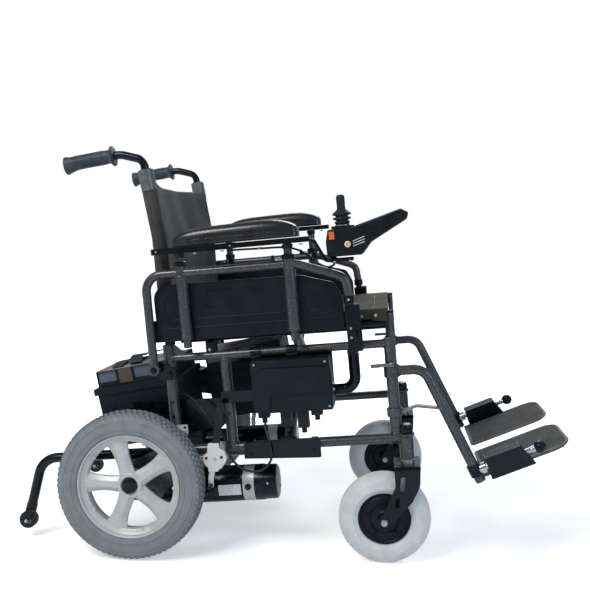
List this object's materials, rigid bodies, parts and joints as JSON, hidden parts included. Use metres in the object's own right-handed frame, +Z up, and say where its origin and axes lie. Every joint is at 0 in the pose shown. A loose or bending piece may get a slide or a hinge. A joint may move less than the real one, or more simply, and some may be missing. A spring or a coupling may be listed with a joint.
{
  "type": "folding power wheelchair",
  "caption": "Folding power wheelchair with flip-back arms, swing-away foot hangers, fabric seat and back, mid-size drive wheels, front casters and a joystick on the right arm.",
  "frame": {"origin": "the floor, under the middle of the chair's bounding box", "axes": "+X towards the chair's front, +Y to the sitter's left, +Z up"},
  "size_m": [1.241, 0.648, 0.9015],
  "materials": {
    "hammered_paint": "hammered dark grey",
    "black_paint": "gloss black",
    "black_plastic": "satin black",
    "vinyl": "black vinyl",
    "tyre_grey": "grey rubber",
    "pale_tyre": "pale grey rubber",
    "silver_plastic": "silver",
    "chrome": "polished",
    "zinc": "bright zinc",
    "seat_cloth": "olive grey nylon",
    "back_cloth": "charcoal nylon",
    "orange_plastic": "orange",
    "cream_plastic": "cream"
  },
  "bodies": {
    "frame_right": {"side_frame_right": "hammered_paint", "back_cane_right": "black_paint", "push_grip_right": "vinyl", "gear_motor_right": "black_paint", "anti_tip_tube_right": "black_paint", "battery_box_right": "black_plastic", "wheel_lock_body_right": "zinc", "controller_module": "black_plastic", "controller_bracket": "black_paint", "sill_plate": "black_paint", "drive_cable": "black_plastic", "back_sling": "back_cloth", "seat_sling": "seat_cloth"},
    "brace_right": {"cross_brace_right": "hammered_paint"},
    "brace_left": {"cross_brace_left": "hammered_paint"},
    "frame_left": {"side_frame_left": "hammered_paint", "back_cane_left": "black_paint", "push_grip_left": "vinyl", "gear_motor_left": "black_paint", "anti_tip_tube_left": "black_paint", "battery_box_left": "black_plastic", "wheel_lock_body_left": "zinc"},
    "drive_wheel_right": {"drive_tyre_right": "tyre_grey", "drive_rim_right": "silver_plastic"},
    "caster_fork_right": {"caster_fork_right": "black_paint"},
    "caster_wheel_right": {"caster_tyre_right": "pale_tyre", "caster_hub_right": "black_plastic"},
    "anti_tip_wheel_right": {"anti_tip_wheel_right": "black_plastic"},
    "arm_right": {"arm_frame_right": "hammered_paint", "arm_panel_right": "black_plastic"},
    "arm_rest_right": {"arm_bar_right": "black_paint", "arm_pad_right": "vinyl", "joystick_pod": "black_plastic", "joystick_cable": "black_plastic"},
    "hanger_right": {"hanger_right": "hammered_paint", "footplate_pin_right": "chrome"},
    "hanger_latch_right": {"hanger_latch_right": "chrome"},
    "footplate_right": {"footplate_right": "black_plastic"},
    "wheel_lock_lever_right": {"wheel_lock_lever_right": "black_paint"},
    "battery_lid_right": {"battery_lid_right": "black_plastic"},
    "drive_wheel_left": {"drive_tyre_left": "tyre_grey", "drive_rim_left": "silver_plastic"},
    "caster_fork_left": {"caster_fork_left": "black_paint"},
    "caster_wheel_left": {"caster_tyre_left": "pale_tyre", "caster_hub_left": "black_plastic"},
    "anti_tip_wheel_left": {"anti_tip_wheel_left": "black_plastic"},
    "arm_left": {"arm_frame_left": "hammered_paint", "arm_panel_left": "black_plastic"},
    "arm_rest_left": {"arm_bar_left": "black_paint", "arm_pad_left": "vinyl"},
    "hanger_left": {"hanger_left": "hammered_paint", "footplate_pin_left": "chrome"},
    "hanger_latch_left": {"hanger_latch_left": "chrome"},
    "footplate_left": {"footplate_left": "black_plastic"},
    "wheel_lock_lever_left": {"wheel_lock_lever_left": "black_paint"},
    "battery_lid_left": {"battery_lid_left": "black_plastic"},
    "joystick_gimbal": {"joystick_gimbal": "zinc"},
    "joystick_stick": {"joystick_stick": "black_plastic"},
    "rocker_switch": {"rocker_switch": "orange_plastic"},
    "horn_button": {"horn_button": "cream_plastic"}
  },
  "joints": [
    {"name": "fold", "type": "hinge", "parent": "frame_right", "child": "brace_right", "pos_m": [0.01345, -0.236, 0.25283], "axis": [0.9952, 0, 0.0977], "range_deg": [0, 29.62], "deforming": ["seat_sling", "back_sling"]},
    {"name": "brace_cross", "type": "hinge", "parent": "brace_right", "child": "brace_left", "pos_m": [0.03062, 0, 0.38494], "axis": [0.9952, 0, 0.0977], "range_deg": [-59.24, 0]},
    {"name": "brace_foot_left", "type": "hinge", "parent": "brace_left", "child": "frame_left", "pos_m": [0.0433, 0.236, 0.25576], "axis": [0.9952, 0, 0.0977], "range_deg": [0, 29.62]},
    {"name": "drive_wheel_spin_right", "type": "hinge", "parent": "frame_right", "child": "drive_wheel_right", "pos_m": [-0.32957, -0.288, 0.1635], "axis": [0, 1, 0], "continuous": true},
    {"name": "caster_swivel_right", "type": "hinge", "parent": "frame_right", "child": "caster_fork_right", "pos_m": [0.2704, -0.236, 0.23313], "axis": [-0.0977, 0, 0.9952], "continuous": true},
    {"name": "caster_roll_right", "type": "hinge", "parent": "caster_fork_right", "child": "caster_wheel_right", "pos_m": [0.22337, -0.236, 0.1], "axis": [0, 1, 0], "continuous": true},
    {"name": "anti_tip_roll_right", "type": "hinge", "parent": "frame_right", "child": "anti_tip_wheel_right", "pos_m": [-0.60059, -0.215, 0.04396], "axis": [0, 1, 0], "continuous": true},
    {"name": "arm_flip_right", "type": "hinge", "parent": "frame_right", "child": "arm_right", "pos_m": [-0.2803, -0.2735, 0.41502], "axis": [0, -1, 0], "range_deg": [0, 100]},
    {"name": "arm_height_right", "type": "slide", "parent": "arm_right", "child": "arm_rest_right", "axis": [-0.0977, 0, 0.9952], "range_m": [0, 0.085]},
    {"name": "hanger_swing_right", "type": "hinge", "parent": "frame_right", "child": "hanger_right", "pos_m": [0.23247, -0.236, 0.42203], "axis": [0.0977, 0, -0.9952], "range_deg": [0, 90]},
    {"name": "hanger_latch_turn_right", "type": "hinge", "parent": "hanger_right", "child": "hanger_latch_right", "pos_m": [0.2312, -0.2563, 0.43496], "axis": [-0.0977, 0, 0.9952], "range_deg": [0, 20], "stiffness_Nm_per_rad": 0.2, "springref_deg": -8.59},
    {"name": "footplate_flip_right", "type": "hinge", "parent": "hanger_right", "child": "footplate_right", "pos_m": [0.42642, -0.236, 0.21599], "axis": [0.9163, 0, 0.4004], "range_deg": [0, 90]},
    {"name": "wheel_lock_right", "type": "hinge", "parent": "frame_right", "child": "wheel_lock_lever_right", "pos_m": [-0.14442, -0.2721, 0.22327], "axis": [0, 1, 0], "range_deg": [0, 6]},
    {"name": "battery_lid_lift_right", "type": "slide", "parent": "frame_right", "child": "battery_lid_right", "axis": [-0.1943, 0, 0.9809], "range_m": [0, 0.03]},
    {"name": "drive_wheel_spin_left", "type": "hinge", "parent": "frame_left", "child": "drive_wheel_left", "pos_m": [-0.32957, 0.288, 0.1635], "axis": [0, 1, 0], "continuous": true},
    {"name": "caster_swivel_left", "type": "hinge", "parent": "frame_left", "child": "caster_fork_left", "pos_m": [0.2704, 0.236, 0.23313], "axis": [-0.0977, 0, 0.9952], "continuous": true},
    {"name": "caster_roll_left", "type": "hinge", "parent": "caster_fork_left", "child": "caster_wheel_left", "pos_m": [0.22337, 0.236, 0.1], "axis": [0, 1, 0], "continuous": true},
    {"name": "anti_tip_roll_left", "type": "hinge", "parent": "frame_left", "child": "anti_tip_wheel_left", "pos_m": [-0.60059, 0.215, 0.04396], "axis": [0, 1, 0], "continuous": true},
    {"name": "arm_flip_left", "type": "hinge", "parent": "frame_left", "child": "arm_left", "pos_m": [-0.2803, 0.2735, 0.41502], "axis": [0, -1, 0], "range_deg": [0, 100]},
    {"name": "arm_height_left", "type": "slide", "parent": "arm_left", "child": "arm_rest_left", "axis": [-0.0977, 0, 0.9952], "range_m": [-0.028, 0.057]},
    {"name": "hanger_swing_left", "type": "hinge", "parent": "frame_left", "child": "hanger_left", "pos_m": [0.23247, 0.236, 0.42203], "axis": [-0.0977, 0, 0.9952], "range_deg": [0, 90]},
    {"name": "hanger_latch_turn_left", "type": "hinge", "parent": "hanger_left", "child": "hanger_latch_left", "pos_m": [0.2312, 0.2563, 0.43496], "axis": [0.0977, 0, -0.9952], "range_deg": [0, 20], "stiffness_Nm_per_rad": 0.2, "springref_deg": -8.59},
    {"name": "footplate_flip_left", "type": "hinge", "parent": "hanger_left", "child": "footplate_left", "pos_m": [0.42642, 0.236, 0.21599], "axis": [-0.9163, 0, -0.4004], "range_deg": [0, 90]},
    {"name": "wheel_lock_left", "type": "hinge", "parent": "frame_left", "child": "wheel_lock_lever_left", "pos_m": [-0.14442, 0.2721, 0.22327], "axis": [0, 1, 0], "range_deg": [0, 6]},
    {"name": "battery_lid_lift_left", "type": "slide", "parent": "frame_left", "child": "battery_lid_left", "axis": [-0.1943, 0, 0.9809], "range_m": [0, 0.03]},
    {"name": "joystick_fore_aft", "type": "hinge", "parent": "arm_rest_right", "child": "joystick_gimbal", "pos_m": [0.12572, -0.2895, 0.73158], "axis": [0, 1, 0], "range_deg": [-18, 18], "stiffness_Nm_per_rad": 0.4},
    {"name": "joystick_side", "type": "hinge", "parent": "joystick_gimbal", "child": "joystick_stick", "pos_m": [0.12572, -0.2895, 0.73158], "axis": [0.9952, 0, 0.0977], "range_deg": [-18, 18], "stiffness_Nm_per_rad": 0.4},
    {"name": "rocker_tilt", "type": "hinge", "parent": "arm_rest_right", "child": "rocker_switch", "pos_m": [0.10514, -0.316, 0.71097], "axis": [0.9952, 0, 0.0977], "range_deg": [-7, 7], "stiffness_Nm_per_rad": 0.05},
    {"name": "horn_press", "type": "slide", "parent": "arm_rest_right", "child": "horn_button", "axis": [0, 1, 0], "range_m": [0, 0.0012], "stiffness_N_per_m": 400, "springref_m": -0.0005}
  ],
  "couplings": [
    {"joint": "brace_cross", "follows": "fold", "ratio": -2},
    {"joint": "brace_foot_left", "follows": "fold", "ratio": 1},
    {"joint": "footplate_flip_right", "follows": "fold", "ratio": 3.0385},
    {"joint": "footplate_flip_left", "follows": "fold", "ratio": 3.0385}
  ]
}
